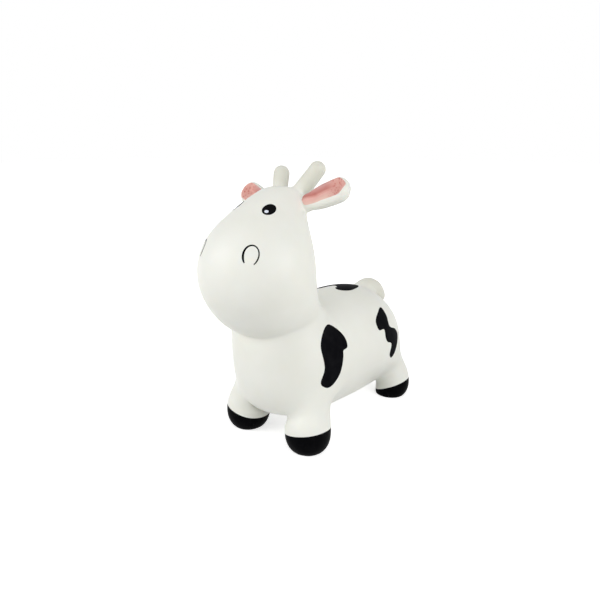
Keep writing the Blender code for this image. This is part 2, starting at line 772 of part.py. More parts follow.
clear_scene()
part = new_collection("bouncing_cow")
guides = new_collection("cutters")
stand = add_empty("stand", None, Matrix())
skin_mesh = build_skin()
skin_tree = BVHTree.FromPolygons(
    [vertex.co for vertex in skin_mesh.vertices], [face.vertices for face in skin_mesh.polygons])
wall_mesh = build_wall(skin_mesh)
skin_near = layer(skin_mesh, seam_gap, "skin_near")
skin_far = layer(skin_mesh, seam_gap + paint_depth, "skin_far")
eye_near = layer(skin_mesh, 2 * seam_gap + paint_depth, "eye_near")
eye_far = layer(skin_mesh, 2 * seam_gap + 2 * paint_depth, "eye_far")
build_skin_pieces()
build_tail()
for side_name, side in (("left", 1), ("right", -1)):
    build_horn(side_name, side)
    build_ear(side_name, side)
build_eyes()
build_nostrils()
build_patches()
build_valve()
centre_on_floor()
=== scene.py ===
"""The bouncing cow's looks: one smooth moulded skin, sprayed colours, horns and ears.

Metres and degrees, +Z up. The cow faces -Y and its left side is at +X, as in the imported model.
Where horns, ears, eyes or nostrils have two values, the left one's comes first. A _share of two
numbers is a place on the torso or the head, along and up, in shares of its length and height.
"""

import json
from math import cos, pi, radians, sin, sqrt

import bmesh
import bpy
from mathutils import Matrix, Vector, geometry
from mathutils.bvhtree import BVHTree


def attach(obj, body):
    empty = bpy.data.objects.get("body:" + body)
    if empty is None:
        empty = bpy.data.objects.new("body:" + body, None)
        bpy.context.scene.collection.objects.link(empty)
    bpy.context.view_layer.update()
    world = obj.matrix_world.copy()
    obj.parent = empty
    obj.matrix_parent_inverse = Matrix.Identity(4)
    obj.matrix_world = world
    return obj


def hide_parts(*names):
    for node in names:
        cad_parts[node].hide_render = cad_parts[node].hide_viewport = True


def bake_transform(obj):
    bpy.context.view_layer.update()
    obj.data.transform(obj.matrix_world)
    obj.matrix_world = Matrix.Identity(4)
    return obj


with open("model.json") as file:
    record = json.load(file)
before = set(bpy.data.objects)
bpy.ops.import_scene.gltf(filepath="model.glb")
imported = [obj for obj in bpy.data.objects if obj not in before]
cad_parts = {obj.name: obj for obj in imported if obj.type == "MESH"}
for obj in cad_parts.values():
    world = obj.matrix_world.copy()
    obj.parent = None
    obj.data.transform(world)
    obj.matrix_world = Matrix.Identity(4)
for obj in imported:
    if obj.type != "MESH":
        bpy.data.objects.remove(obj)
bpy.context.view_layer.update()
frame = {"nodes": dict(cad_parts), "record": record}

# Body and head: sized as the solids, but for a few millimetres
swell = 1.10  # the cage stands outside the smooth skin by this factor
torso_length, torso_width = 0.440, 0.240
seat_height, belly_height = 0.256, 0.034
head_length, head_width, head_height = 0.193, 0.229, 0.256
nape_share, throat_share = -0.212, 0.752
section_angles = (0.0, 52.0, 104.0, 152.0, 180.0)  # from the back round to the belly
skin_levels = 4  # of smoothing
torso_region, leg_region, hoof_region = 0, 1, 2
# Sections from rump to chest and from throat to poll: upper point, lower point, width
torso_section_shares = (
    ((0.460, 0.60), (0.445, 0.24), 0.44),
    ((0.408, 0.80), (0.385, 0.07), 0.72),
    ((0.27, 1.012), (0.13, -0.05), 0.96),
    ((-0.01, 1.034), (-0.275, 0.030), 0.97),
    ((-0.080, 0.95), (-0.465, 0.19), 0.86),
    ((-0.118, 0.98), (-0.500, 0.54), 0.77),
    ((-0.150, 1.05), (-0.493, 0.88), 0.74),
)
head_section_shares = (
    ((-0.01, 0.333), (0.75, 0.16), 0.88),
    ((0.035, 0.47), (0.94, 0.29), 0.965),
    ((0.042, 0.60), (1.02, 0.50), 1.0),
    ((0.060, 0.73), (0.913, 0.733), 0.874),
    ((0.018, 0.843), (0.70, 0.882), 0.605),
    ((-0.030, 1.01), (0.255, 1.076), 0.315),
)
# The fold where the muzzle hangs over the chest, which the solids don't have
muzzle_fold_moves = ((-0.001, -0.016), (0.021, -0.015), (0.000, -0.012))  # rearward, up
muzzle_fold_shares = (0.0, 0.0, 0.0, 0.75, 1.0)  # from the nape round to the front
muzzle_fold_softness = 0.25

# Legs: rings from the ankle to the sole, fitted a few millimetres closer to the photo
foot_spread, foot_reach = 0.149, 0.297
front_foot_shift, rear_foot_shift = 0.002, 0.008  # outward, and rearward
front_hoof_width, rear_hoof_width = 0.088, 0.079
rear_leg_span, front_leg_span, leg_side = 1, 3, 2  # the face of the cage that a leg grows from
ring_regions = (leg_region, leg_region, hoof_region)  # of the faces above each ring
# heights at a ring's outer and inner side; the last ring is cut off at the floor
front_ring_heights = ((0.0875, 0.034), (0.047, 0.029), (-0.014, -0.014))
rear_ring_heights = ((0.0875, 0.026), (0.038, 0.002), (-0.014, -0.014))
ring_end_lifts = (0.0, 0.011, 0.0)  # added at the side of the cow's own end
# how far each ring reaches outward, inward, to the cow's own end and to its middle
front_ring_shares = (
    (0.66, 1.25, 0.68, 1.22),
    (1.03, 1.06, 1.04, 1.12),
    (0.96, 0.92, 0.90, 1.00),
)
rear_ring_shares = (
    (0.66, 0.86, 0.66, 0.80),
    (1.10, 0.96, 1.08, 1.00),
    (1.00, 0.90, 0.98, 0.96),
)
blend_tips, blend_turns = range(0, 65, 5), range(0, 105, 15)  # degrees tried for a leg's blend
least_blend = 0.004

# The filling valve's opening in the skin, hidden under its flange
valve_share = (0.10, 0.5)
valve_clear, valve_cuts = 0.0082, 5

# Horns, ears and tail
weld = 0.00001
fade_rings = 22  # over which their darker, yellower tone fades into the white
skin_bisections = 24  # to find where a line leaves the skin
slope_step = 0.002  # share over which a surface's slope is taken
fillet_pull = 1.15  # how long a fillet keeps its end directions
fillet_run, fillet_sink = 0.0008, 0.0004  # its last row, along and under the skin

horn_lengths, horn_width, horn_neck_widths = (0.0540, 0.0465), 0.0292, (0.0308, 0.0272)
horn_root_height, horn_sink = 0.010, 0.020
horn_spreads, horn_splays, horn_leans = (0.0350, 0.0395), (33.2, 30.0), (34.0, 50.0)
horn_seat_share, horn_depth_share = (0.09, 0.96), 0.25
horn_fillet = 0.0075  # how far its moulded foot runs out on the head
horn_around, horn_rows, horn_fillet_rows = 40, 44, 12
horn_darker_tone, horn_bend_before = 1.0, 0.001

ear_lengths, ear_width, ear_thickness = (0.0735, 0.0718), 0.053, 0.027
ear_root_length, ear_sink = 0.0135, 0.024
ear_raises, ear_sweep, ear_tilt = (22.0, 17.0), 13.0, 30.0
ear_seat_shares = ((0.22, 0.856), (0.14, 0.840))
ear_fillet = 0.0045
ear_rim_columns, ear_face_columns = 7, 20  # across each rim, and between the rims
ear_rows, ear_fillet_rows = 60, 10
ear_darker_tone, ear_bend_before = 0.15, 0.002
ear_width_knots = (
    (0.0, 0.61), (0.15, 0.73), (0.30, 0.79), (0.45, 0.81), (0.60, 0.835), (0.72, 0.84))
ear_tip_roundness = 0.9  # exponents of a round end: under 1 is fuller
ear_front_roundness, ear_back_roundness = 0.75, 0.85
ear_rim_bias, ear_width_smoothing = 1.4, 0.05
ear_root_thinning, ear_full_thickness_at, ear_thin_tip_at = 0.28, 0.45, 0.78

# The ear's folded pink face, along the ear in shares of its length
lining_knots = (  # place along the ear, half of its breadth
    (-0.155, 0.62), (0.0, 0.75), (0.25, 0.76), (0.50, 0.78), (0.76, 0.78), (0.965, 0.66))
lining_caps = (0.06, 0.19)  # lengths of its round ends
lining_lift_shares = (0.075, 0.02)  # towards the upper edge
lining_least = 0.03  # half breadth of the face's columns where no pink lies
lining_least_slope = 0.05  # how far forward a pink face leans at least
fold_depth = 0.0115
fold_place = 0.20  # its place across the pink, towards the upper edge
fold_start, fold_start_run, fold_stop, fold_stop_run = -0.12, 0.30, 0.97, 0.22
fold_lip, fold_softness, fold_full_share = 1.03, 0.008, 0.42

tail_length, tail_width, tail_rise, tail_fall = 0.106, 0.046, 24.0, 92.0
tail_seat_share, tail_sink_share = (0.296, 0.5), 0.40
tail_path_share, tail_thickness_share = 0.92, 0.97  # shorter and thinner under its round end
tail_straight, tail_steps = 0.10, 400
tail_bulge, tail_taper, tail_taper_from = 0.03, 0.14, 0.35
tail_tip_from, tail_tip_roundness = 0.86, 0.85
tail_fillet = 0.0130
tail_around, tail_rows, tail_fillet_rows = 40, 48, 14
tail_darker_tone = 0.9

# Face
eye_width, eye_height, eye_tilt, glint_width = 0.0216, 0.0266, -34.0, 0.0068
eye_core_share, eye_turns, eye_rise = (0.40, 0.82), (52.0, 60.0), 30.6
glint_shares = (0.04, -0.24)  # on the eye, across and up
nostril_width, nostril_height, nostril_opening = 0.0275, 0.0345, 70.0
nostril_line, nostril_unevenness, nostril_slant = 0.00279, 0.30, 0.5  # thicker to one side
nostril_end_share, nostril_end_growth = 0.55, 4.0  # and thinner at its ends
nostril_core_share = (0.45, 0.62)
nostril_turns, nostril_rises, nostril_tilt = (33.3, 38.6), (9.0, 7.0), -8.0
eye_steps, glint_steps, nostril_steps = 48, 20, 40

# Sprayed areas
paint_lift, patch_lift = 0.00012, 0.0003  # above the skin
edge_sink = 0.0004  # the border runs this far back into the skin
patch_grid, small_grid, grid_margin = 0.0040, 0.0012, 0.45
spray_reach = 0.06  # from where an outline is thrown on to the skin
outline_steps = 8  # between two points of an outline
shoulder_patch, rump_patch, back_patch = (0.078, 0.102), (0.092, 0.103), (0.072, 0.085)
shoulder_patch_share, rump_patch_share = (-0.231, 0.63), (0.197, 0.58)
back_patch_share = (0.156, 1.0)
# outlines, across and up; the far ones are made up, as the photo doesn't show that side
shoulder_outline_shares = (
    (0.14, 0.5), (0.41, 0.37), (0.5, 0.18), (0.45, 0.06), (0.30, 0.03), (0.25, -0.06),
    (0.01, -0.35), (-0.36, -0.5), (-0.5, -0.42), (-0.36, -0.16), (-0.35, -0.03), (-0.38, 0.25),
    (-0.28, 0.41), (-0.11, 0.5),
)
rump_outline_shares = (
    (0.05, 0.5), (0.10, 0.36), (0.07, 0.16), (0.38, 0.01), (0.5, -0.12), (0.31, -0.36),
    (0.05, -0.5), (-0.04, -0.40), (0.04, -0.20), (-0.16, -0.10), (-0.22, -0.01), (-0.22, 0.15),
    (-0.45, 0.20), (-0.48, 0.34), (-0.21, 0.47),
)
far_shoulder_outline_shares = (
    (-0.30, 0.46), (0.06, 0.5), (0.40, 0.34), (0.46, 0.10), (0.20, -0.04), (0.30, -0.26),
    (0.10, -0.48), (-0.24, -0.46), (-0.36, -0.20), (-0.22, 0.02), (-0.48, 0.20),
)
far_rump_outline_shares = (
    (-0.20, 0.48), (0.18, 0.44), (0.44, 0.20), (0.40, -0.10), (0.12, -0.20), (0.16, -0.44),
    (-0.14, -0.48), (-0.30, -0.24), (-0.48, -0.06), (-0.40, 0.26),
)
back_outline_shares = (
    (0.03, -0.32), (0.07, -0.44), (0.18, -0.495), (0.29, -0.46), (0.37, -0.36), (0.415, -0.20),
    (0.38, 0.014), (0.27, 0.31), (0.08, 0.50), (-0.22, 0.45), (-0.49, 0.18), (-0.58, -0.22),
    (-0.47, -0.60), (-0.32, -0.59), (-0.24, -0.42), (-0.14, -0.25),
)

# Skin's finest relief
wave_scale, wave_strength, wave_height = 26.0, 0.10, 0.0010
grain_height = 0.0002
common_noise = (0.3, 0.7)  # the range that a noise mostly keeps to

# Stage
floor_width, floor_roughness = 30.0, 0.9
floor_tones = (0.75, 0.755)
floor_lift, floor_lift_span = (0.66, 1.0), (0.45, 1.6)  # from near the cow outwards
world_strength = 0.39
lamp_width, lamp_target = 1.8, Vector((0.0, 0.0, 0.22))
lamps = (
    ("key", (-1.53, -1.96, 1.27), 35.0),
    ("side", (2.36, -0.63, 1.36), 31.0),
    ("back", (1.87, 0.87, 1.96), 7.0),
)
camera_place, camera_pitch, camera_turn = Vector((0.629, -0.853, 0.54)), 74.0, 39.0
camera_lens, camera_sensor, camera_far = 33.0, 36.0, 60.0

feet = {mount["name"]: Vector(mount["pos_m"]) for mount in frame["record"]["mounts"]}
stand = feet["sole_front_left"] - Vector((foot_spread / 2, -foot_reach / 2, 0.0))
upright = Vector((0.0, 0.0, 1.0))
forward = Vector((0.0, -1.0, 0.0))


# ---- materials

class Finish:
    """A node material with a few short words for the nodes used again and again."""

    def __init__(self, name, colour, roughness):
        self.material = bpy.data.materials.new(name)
        self.material.use_nodes = True
        self.tree = self.material.node_tree
        self.shader = self.tree.nodes["Principled BSDF"]
        self.set("Base Color", (*colour, 1.0))
        self.set("Roughness", roughness)
        self.place = self.add("ShaderNodeTexCoord").outputs["Object"]

    def add(self, kind, **settings):
        node = self.tree.nodes.new(kind)
        for key, value in settings.items():
            setattr(node, key, value)
        return node

    def join(self, source, target):
        self.tree.links.new(source, target)

    def set(self, socket, value):
        self.shader.inputs[socket].default_value = value

    def colour(self, source):
        self.join(source, self.shader.inputs["Base Color"])

    def roughness(self, scale, detail, low, high, core=common_noise):
        """Roughness from low to high, by a noise whose core range is spread over them."""
        source = self.spread(self.noise(scale, detail), low, high, *core)
        self.join(source, self.shader.inputs["Roughness"])

    def noise(self, scale, detail=2.0):
        node = self.add("ShaderNodeTexNoise")
        node.inputs["Scale"].default_value = scale
        node.inputs["Detail"].default_value = detail
        self.join(self.place, node.inputs["Vector"])
        return node.outputs["Fac"]

    def ramp(self, source, stops):
        node = self.add("ShaderNodeValToRGB")
        elements = node.color_ramp.elements
        while len(elements) < len(stops):
            elements.new(0.5)
        for element, (position, colour) in zip(elements, stops):
            element.position = position
            element.color = (*colour, 1.0)
        self.join(source, node.inputs["Fac"])
        return node.outputs["Color"]

    def spread(self, source, low, high, start=0.0, end=1.0):
        node = self.add("ShaderNodeMapRange")
        for key, value in (
            ("From Min", start), ("From Max", end), ("To Min", low), ("To Max", high),
        ):
            node.inputs[key].default_value = value
        self.join(source, node.inputs["Value"])
        return node.outputs["Result"]

    def bump(self, source, strength, distance):
        node = self.add("ShaderNodeBump")
        node.inputs["Strength"].default_value = strength
        node.inputs["Distance"].default_value = distance
        self.join(source, node.inputs["Height"])
        if self.shader.inputs["Normal"].links:
            before = self.shader.inputs["Normal"].links[0].from_socket
            self.join(before, node.inputs["Normal"])
        self.join(node.outputs["Normal"], self.shader.inputs["Normal"])

    def waves(self):
        self.bump(self.noise(wave_scale, 1.0), wave_strength, wave_height)

    def grain(self, scale, strength):
        self.bump(self.noise(scale, 3.0), strength, grain_height)

    def mix(self, factor, first, second):
        node = self.add("ShaderNodeMix", data_type="RGBA")
        self.join(factor, node.inputs["Factor"])
        for value, socket in ((first, node.inputs[6]), (second, node.inputs[7])):
            if isinstance(value, tuple):
                socket.default_value = (*value, 1.0)
            else:
                self.join(value, socket)
        return node.outputs[2]

    def attribute(self, name):
        return self.add("ShaderNodeAttribute", attribute_name=name).outputs["Fac"]


def vinyl_finish():
    """Soft moulded vinyl: warm white, a satin skin with a faint waviness and fine grain."""
    finish = Finish("white_vinyl", (0.845, 0.85, 0.80), 0.40)
    white = finish.ramp(finish.noise(11.0, 3.0), (
        (0.35, (0.835, 0.838, 0.77)), (0.65, (0.865, 0.87, 0.81))))
    # darker and yellower out along the horns, tail and ears, fading into the white at their roots
    finish.colour(finish.mix(finish.attribute("darker_tone"), white, (0.735, 0.73, 0.645)))
    finish.roughness(scale=38.0, detail=3.0, low=0.36, high=0.47)
    finish.waves()
    finish.grain(scale=900.0, strength=0.06)
    finish.set("Subsurface Weight", 0.12)
    finish.set("Subsurface Radius", (1.0, 0.7, 0.45))
    finish.set("Subsurface Scale", 0.006)
    finish.set("Specular IOR Level", 0.30)
    return finish.material


def black_finish(name, wear, sheen, tone):
    """Sprayed black on vinyl: even, a little glossier than the skin, dulled where it rubs."""
    finish = Finish(name, (0.0035, 0.0035, 0.0042), 0.36)
    finish.set("Specular IOR Level", sheen)
    finish.colour(finish.ramp(finish.noise(70.0, 4.0), (
        (0.4, (0.8 * tone, 0.8 * tone, tone)), (0.75, (1.4 * tone, 1.4 * tone, 1.6 * tone)))))
    finish.roughness(scale=120.0, detail=4.0, low=0.30, high=0.30 + wear, core=(0.35, 0.7))
    finish.waves()
    finish.grain(scale=700.0, strength=0.08)
    return finish.material


def pink_finish():
    """The ear's sprayed face: pink with painted shade on the slope above its fold and painted
    light on the slope below, with dots outward.
    """
    finish = Finish("ear_pink", (0.72, 0.34, 0.30), 0.46)
    across = finish.spread(finish.attribute("above_fold"), 0.0, 1.0, start=-0.6, end=0.6)
    # painted shade: deeper pink on the slope above the fold; painted light: paler pink on the
    # slope below
    fold_light_and_shade = finish.ramp(across, (
        (0.0, (0.80, 0.52, 0.44)), (0.40, (0.82, 0.47, 0.42)), (0.50, (0.68, 0.33, 0.28)),
        (0.60, (0.50, 0.17, 0.145)), (0.76, (0.55, 0.24, 0.215)), (0.95, (0.57, 0.33, 0.31))))
    cells = finish.add("ShaderNodeTexVoronoi")
    cells.inputs["Scale"].default_value = 220.0
    cells.inputs["Randomness"].default_value = 0.85
    finish.join(finish.place, cells.inputs["Vector"])
    spot = finish.spread(cells.outputs["Distance"], 1.0, 0.0, start=0.22, end=0.42)
    outward = finish.spread(finish.attribute("along_ear"), 0.0, 1.0, start=0.45, end=0.72)
    base = finish.mix(outward, fold_light_and_shade, (0.70, 0.36, 0.305))
    dots = finish.add("ShaderNodeMath", operation="MULTIPLY")
    finish.join(spot, dots.inputs[0])
    finish.join(outward, dots.inputs[1])
    finish.colour(finish.mix(dots.outputs[0], base, (0.55, 0.16, 0.14)))
    finish.bump(dots.outputs[0], strength=0.5, distance=0.0008)
    finish.grain(scale=600.0, strength=0.08)
    finish.roughness(scale=90.0, detail=3.0, low=0.42, high=0.54)
    return finish.material


def glint_finish():
    """The white dot sprayed on the eye."""
    finish = Finish("eye_glint", (0.78, 0.82, 0.92), 0.30)
    finish.colour(finish.ramp(finish.noise(300.0), (
        (0.3, (0.70, 0.76, 0.90)), (0.7, (0.86, 0.88, 0.95)))))
    return finish.material


def plug_finish():
    """Translucent soft plastic."""
    finish = Finish("clear_plastic", (0.80, 0.82, 0.80), 0.32)
    finish.set("Transmission Weight", 0.55)
    finish.set("IOR", 1.45)
    finish.colour(finish.ramp(finish.noise(160.0), (
        (0.3, (0.74, 0.76, 0.74)), (0.7, (0.84, 0.86, 0.84)))))
    finish.roughness(scale=240.0, detail=2.0, low=0.28, high=0.40)
    return finish.material


# ---- small tools

def add_object(name, data):
    item = bpy.data.objects.new(name, data)
    bpy.context.scene.collection.objects.link(item)
    return item


def add_piece(name, mesh, material, slot):
    piece = add_object(name, mesh)
    mesh.materials.clear()
    mesh.materials.append(material)
    mesh.shade_smooth()
    return piece


def mesh_of(bm, name):
    mesh = bpy.data.meshes.new(name)
    bm.to_mesh(mesh)
    bm.free()
    return mesh


def ease(t):
    t = min(max(t, 0.0), 1.0)
    return t * t * (3 - 2 * t)


def rounded(past, fullness):
    """What is left of a thickness this share of the way along a round end."""
    return sqrt(max(1 - past * past, 0.0)) ** fullness


def curve_point(start, start_pull, end, end_pull, t):
    """A point of the smooth curve that leaves and reaches its ends along the given pulls."""
    return (
        start * (2 * t ** 3 - 3 * t ** 2 + 1) + start_pull * (t ** 3 - 2 * t ** 2 + t)
        + end * (-2 * t ** 3 + 3 * t ** 2) + end_pull * (t ** 3 - t ** 2))


def facing(point, normal, upward=upright):
    """A frame at a point, its Z along the normal and its Y as near upward as it can be."""
    z = normal.normalized()
    x = upward.cross(z).normalized()
    return Matrix.Translation(point) @ Matrix((x, z.cross(x), z)).transposed().to_4x4()


def torso_place(shares):
    along, up = shares
    height = belly_height + up * (seat_height - belly_height)
    return Vector((0.0, along * torso_length, height)) + stand


def head_place(shares):
    ahead, up = shares
    throat = belly_height + throat_share * (seat_height - belly_height)
    along = nape_share * torso_length - ahead * head_length
    return Vector((0.0, along, throat + up * head_height)) + stand


def on_skin(start, direction):
    """Where a ray from inside meets the skin, and the skin's normal there."""
    point, normal, _, _ = skin_tree.ray_cast(start, direction.normalized())
    return point, normal


def nearest_skin(point):
    near, normal, _, _ = skin_tree.find_nearest(point)
    return near, normal


def is_inside(point):
    near, normal = nearest_skin(point)
    return (point - near).dot(normal) < 0.0


# ---- the skin

def skin_sections():
    """The left half of the cage: rings of points from rump to poll."""
    rows = [(torso_place(upper), torso_place(lower), width * torso_width / 2)
            for upper, lower, width in torso_section_shares]
    rows += [(head_place(upper), head_place(lower), width * head_width / 2)
             for upper, lower, width in head_section_shares]
    sections = []
    for back, front, half_width in rows:
        middle, half = (back + front) / 2, (back - front) / 2 * swell
        points = []
        for angle in section_angles:
            x = half_width * swell * sin(radians(angle)) if 0 < angle < 180 else 0.0
            points.append(middle + half * cos(radians(angle)) + Vector((x, 0.0, 0.0)))
        sections.append(points)
    return with_muzzle_fold(sections)


def with_muzzle_fold(sections):
    """One section more between chest and muzzle, drawn back, and softer ones beside it."""
    chest = len(torso_section_shares) - 1

    def softened(at):
        return [
            point.lerp((before + after) / 2, muzzle_fold_softness * (1 - share))
            for before, point, after, share
            in zip(sections[at - 1], sections[at], sections[at + 1], muzzle_fold_shares)]

    fold = [(a + b) / 2 for a, b in zip(sections[chest], sections[chest + 1])]
    sections[chest:chest + 2] = [softened(chest), fold, softened(chest + 1)]
    for section, (rearward, up) in zip(sections[chest:], muzzle_fold_moves):
        for i, share in enumerate(muzzle_fold_shares):
            section[i] = section[i] + Vector((0.0, rearward, up)) * share
    return sections


def leg_rings(front):
    """Rings of four corners down a left leg, from its outer rear corner round."""
    if front:
        size, shares, heights = front_hoof_width, front_ring_shares, front_ring_heights
        place = (foot_spread / 2 + front_foot_shift, -foot_reach / 2, 0.0)
    else:
        size, shares, heights = rear_hoof_width, rear_ring_shares, rear_ring_heights
        place = (foot_spread / 2, foot_reach / 2 + rear_foot_shift, 0.0)
    centre = stand + Vector(place)
    rings = []
    for (outer, inner, end, middle), (high, low), lift in zip(shares, heights, ring_end_lifts):
        ahead, behind = (end, middle) if front else (middle, end)
        lift_ahead, lift_behind = (lift, 0.0) if front else (0.0, lift)
        rings.append([
            centre + Vector((outer * size / 2, behind * size / 2, high + lift_behind)),
            centre + Vector((-inner * size / 2, behind * size / 2, low + lift_behind)),
            centre + Vector((-inner * size / 2, -ahead * size / 2, low + lift_ahead)),
            centre + Vector((outer * size / 2, -ahead * size / 2, high + lift_ahead)),
        ])
    return rings


def build_cage():
    """The left half of the skin's cage, with the region of each face as its material index."""
    bm = bmesh.new()
    rows = [[bm.verts.new(point) for point in section] for section in skin_sections()]
    for span, (row, following) in enumerate(zip(rows, rows[1:])):
        for side in range(len(section_angles) - 1):
            corners = [row[side], row[side + 1], following[side + 1], following[side]]
            if side != leg_side or span not in (rear_leg_span, front_leg_span):
                bm.faces.new(corners).material_index = torso_region
                continue
            for ring, region in zip(leg_rings(span == front_leg_span), ring_regions):
                lower = [bm.verts.new(point) for point in ring]
                for i in range(4):
                    j = (i + 1) % 4
                    face = bm.faces.new([corners[i], corners[j], lower[j], lower[i]])
                    face.material_index = region
                corners = lower
            bm.faces.new(corners).material_index = hoof_region
    bm.faces.new(rows[0])
    bm.faces.new(rows[-1])
    bmesh.ops.recalc_face_normals(bm, faces=bm.faces)
    return mesh_of(bm, "cage")


def build_skin():
    """The whole outer skin at its finest, its soles flat on the floor."""
    cage = add_object("cage", build_cage())
    # the mirror plane stands at the cow's middle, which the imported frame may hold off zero
    middle = add_object("middle", None)
    middle.location = (stand.x, 0.0, 0.0)
    mirror = cage.modifiers.new("both_sides", "MIRROR")
    mirror.mirror_object = middle
    mirror.merge_threshold = weld
    smooth = cage.modifiers.new("smooth_form", "SUBSURF")
    smooth.levels = skin_levels
    bpy.context.view_layer.update()
    finest = cage.evaluated_get(bpy.context.evaluated_depsgraph_get())
    mesh = bpy.data.meshes.new_from_object(finest)
    bpy.data.objects.remove(cage)
    bpy.data.objects.remove(middle)
    for vertex in mesh.vertices:
        vertex.co.z = max(vertex.co.z, 0.0)
    mesh.shade_smooth()
    return mesh


def skin_region(name, wanted, extra=None):
    """The faces of one region as a mesh that keeps the whole skin's normals along its edges."""
    bm = bmesh.new()
    bm.from_mesh(skin)
    kept = {vert: skin_normals[vert.index] for vert in bm.verts}
    drop = [f for f in bm.faces if not wanted(f.material_index, f.calc_center_median())]
    bmesh.ops.delete(bm, geom=drop, context="FACES")
    if extra:
        extra(bm)
    normals = [tuple(kept.get(vert, vert.normal)) for vert in bm.verts]
    mesh = mesh_of(bm, name)
    mesh.shade_smooth()
    mesh.normals_split_custom_set_from_vertices(normals)
    return mesh


def open_valve(bm):
    """An opening under the belly where the valve stands, its rough edge hidden by the flange."""
    seat, _ = on_skin(torso_place(valve_share), -upright)

    def faces_within(reach):
        return [face for face in bm.faces if (face.calc_center_median() - seat).length < reach]

    edges = list({edge for face in faces_within(3 * valve_clear) for edge in face.edges})
    bmesh.ops.subdivide_edges(bm, edges=edges, cuts=valve_cuts, use_grid_fill=True)
    bm.normal_update()
    bmesh.ops.delete(bm, geom=faces_within(valve_clear), context="FACES")


# ---- horns, ears and tail: a surface that runs out on to the skin in a moulded fillet

def rooted(surface, around, rows, fillet, fillet_rows):
    """Rows of points from the tip down to the skin and out along it.

    surface(turn, share) gives a point, share 0 well inside the skin and 1 at the tip.
    """
    lines = []
    for k in range(around):
        low, high = 0.0, 0.6
        for _ in range(skin_bisections):
            middle = (low + high) / 2
            if is_inside(surface(k, middle)):
                low = middle
            else:
                high = middle
        meet = surface(k, high)
        slope = (surface(k, high + slope_step) - meet) / slope_step
        start = high + fillet / slope.length
        line = [surface(k, 1.0 - (1.0 - start) * (1.0 - cos(pi * i / (2 * rows))))
                for i in range(rows + 1)]
        down = -(surface(k, start + slope_step) - surface(k, start)).normalized()
        _, normal = nearest_skin(meet)
        spread = meet - sum((surface(j, high) for j in range(around)), Vector()) / around
        outward = (spread - normal * spread.dot(normal)).normalized()
        end, normal = nearest_skin(meet + outward * fillet)
        outward = (outward - normal * outward.dot(normal)).normalized()
        first = line[-1]
        pull = (end - first).length * fillet_pull
        for i in range(1, fillet_rows + 1):
            line.append(curve_point(first, down * pull, end, outward * pull, i / fillet_rows))
        line.append(end + outward * fillet_run - normal * fillet_sink)
        lines.append(line)
    return [[line[i] for line in lines] for i in range(len(lines[0]))]


def net(rows, darker_tone):
    """A mesh over rings of points, the first shrunk to one point.

    The darker, yellower tone is kept with each vertex and fades towards the last ring.
    """
    bm = bmesh.new()
    tone = bm.verts.layers.float.new("darker_tone")
    rings = [[bm.verts.new(point) for point in row] for row in rows]
    for index, ring in enumerate(rings):
        for vert in ring:
            vert[tone] = darker_tone * ease((len(rings) - 1 - index) / fade_rings)
    count = len(rings[0])
    for upper, lower in zip(rings, rings[1:]):
        for i in range(count):
            j = (i + 1) % count
            bm.faces.new((upper[i], upper[j], lower[j], lower[i]))
    bm.faces.new(rings[0])
    bmesh.ops.remove_doubles(bm, verts=rings[0], dist=weld)
    bmesh.ops.recalc_face_normals(bm, faces=bm.faces)
    return bm


def build_horn(side_name, side):
    number = 0 if side > 0 else 1
    splay, back = radians(horn_splays[number]), radians(horn_leans[number])
    lean = Vector((side * sin(splay), sin(back), 1.0)).normalized()
    aim = head_place(horn_seat_share) + Vector((side * horn_spreads[number] / 2, 0.0, 0.0))
    seat, _ = on_skin(aim - lean * head_height * horn_depth_share, lean)
    place = facing(seat, lean, forward)
    club, neck = horn_width / 2, horn_neck_widths[number] / 2
    whole = horn_sink + horn_root_height + horn_lengths[number]
    club_at = whole - club

    def surface(k, share):
        turn = 2 * pi * k / horn_around
        height = share * whole
        if height > club_at:
            radius = sqrt(max(club ** 2 - (height - club_at) ** 2, 0.0))
        else:
            radius = neck + (club - neck) * ease((height - horn_sink) / (club_at - horn_sink))
        return place @ Vector((radius * cos(turn), radius * sin(turn), height - horn_sink))

    rows = rooted(surface, horn_around, horn_rows, horn_fillet, horn_fillet_rows)
    name = "horn_" + side_name
    horn = add_piece(name + "_skin", mesh_of(net(rows, horn_darker_tone), name), vinyl, "white_vinyl")
    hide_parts(name, "horn_root_" + side_name)
    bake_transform(horn)


def along_knots(knots, t, shape=lambda u: u):
    """The value at t between (place, value) knots."""
    for (t0, w0), (t1, w1) in zip(knots, knots[1:]):
        if t <= t1:
            return w0 + (w1 - w0) * shape((t - t0) / (t1 - t0))
    return knots[-1][1]


def ear_width_share(t):
    """The ear's breadth along it: narrow at the root, broadest past the middle, round tip."""
    t = min(max(t, 0.0), 1.0)
    tip_at, tip_width = ear_width_knots[-1]
    if t < tip_at:
        return along_knots(ear_width_knots, t)
    return tip_width * rounded((t - tip_at) / (1 - tip_at), ear_tip_roundness)


def ear_half_width(t):
    """Half of it in metres, averaged over a short stretch so that its knots don't show."""
    t = max(t, 0.0)
    span = min(ear_width_smoothing, max(1.0 - t, 0.0) / 3)
    return ear_width / 2 * sum(ear_width_share(t + span * i / 3) for i in range(-3, 4)) / 7


def lining_reach(t):
    """Half the pink area's breadth, as a share of the ear's, with round ends."""
    ends = lining_knots[0][0], lining_knots[-1][0]
    if not ends[0] < t < ends[1]:
        return 0.0
    reach = along_knots(lining_knots, t, ease)
    for end, cap in zip(ends, lining_caps):
        reach *= rounded(1 - min(abs(t - end) / cap, 1.0), 1.0)
    return reach


